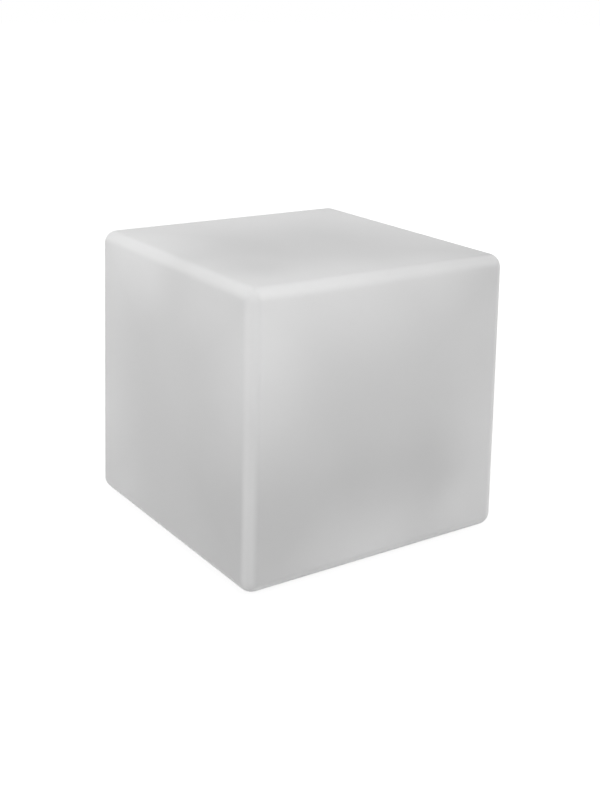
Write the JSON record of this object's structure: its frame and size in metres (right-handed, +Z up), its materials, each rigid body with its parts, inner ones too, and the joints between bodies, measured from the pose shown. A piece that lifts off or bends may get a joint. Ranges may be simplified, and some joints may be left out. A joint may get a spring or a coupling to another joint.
{
  "type": "led cube light",
  "caption": "Free-standing hollow white cube light with rounded edges, rubber feet and a sealed battery light module let into its underside.",
  "frame": {"origin": "on the ground under the middle of the cube", "axes": "+Z up, the front face looks along -Y, +X to its right"},
  "size_m": [0.3994, 0.3994, 0.384],
  "materials": {
    "shell": "satin moulded polyethylene, translucent white",
    "casing": "fine textured moulded plastic, white",
    "dome": "frosted clear plastic",
    "clear": "clear moulded plastic",
    "rubber": "matte black",
    "silicone": "matte grey",
    "brass": "knurled",
    "screw": "stainless",
    "nut": "nickel plated",
    "aluminium": "plain rolled sheet",
    "board_white": "white solder mask",
    "board_green": "green solder mask",
    "led": "white package with a yellow fill",
    "black_part": "black moulded",
    "black_matte": "black moulded",
    "header": "natural nylon",
    "cell": "shrunk plastic sleeve",
    "nickel": "nickel strip",
    "can": "drawn can",
    "red_wire": "wire insulation",
    "black_wire": "wire insulation",
    "ribbon": "flat cable",
    "membrane": "porous film"
  },
  "bodies": {
    "cube": {"cube_shell": "shell", "module_inserts": "brass", "foot_inserts": "brass", "rubber_feet": "rubber", "foot_washers": "screw", "foot_screws": "screw", "flange_gasket": "silicone", "module_base": "casing", "module_screws": "screw", "screw_seals": "rubber", "switch_guard": "casing", "port_frame": "casing", "dome_seal": "silicone", "diffuser_dome": "dome", "dome_screws": "screw", "vent_body": "black_matte", "vent_membrane": "membrane", "vent_nut": "black_matte", "light_pipe": "clear", "heat_plate": "aluminium", "heat_plate_screws": "screw", "led_board": "board_white", "leds": "led", "led_board_screws": "screw", "ir_receiver": "black_part", "led_header": "header", "battery_tray": "black_matte", "battery_cells": "cell", "cell_links": "nickel", "protection_board": "board_green", "protection_chips": "black_part", "battery_clamp": "black_matte", "clamp_screws": "screw", "control_board": "board_green", "board_screws": "screw", "control_chips": "black_part", "power_coil": "black_part", "capacitors": "can", "board_headers": "header", "charge_light": "led", "switch_body": "nut", "switch_seal": "rubber", "switch_nut": "nut", "button_spring": "screw", "switch_terminals": "brass", "charge_socket": "black_matte", "socket_pin": "nut", "socket_seal": "rubber", "socket_nut": "nut", "socket_tags": "brass", "hinge_pin": "screw", "red_leads": "red_wire", "black_leads": "black_wire", "led_ribbon": "ribbon"},
    "button": {"power_button": "black_matte"},
    "port_flap": {"port_cover": "casing", "port_cover_seal": "silicone"}
  },
  "joints": [
    {"name": "button_press", "type": "slide", "parent": "cube", "child": "button", "axis": [0, 0, 1], "range_m": [0, 0.0018], "stiffness_N_per_m": 900, "springref_m": -0.002, "deforming": ["button_spring"]},
    {"name": "port_cover_hinge", "type": "hinge", "parent": "cube", "child": "port_flap", "pos_m": [0.036, -0.0109, 0.0096], "axis": [1, 0, 0], "range_deg": [0, 120]}
  ]
}
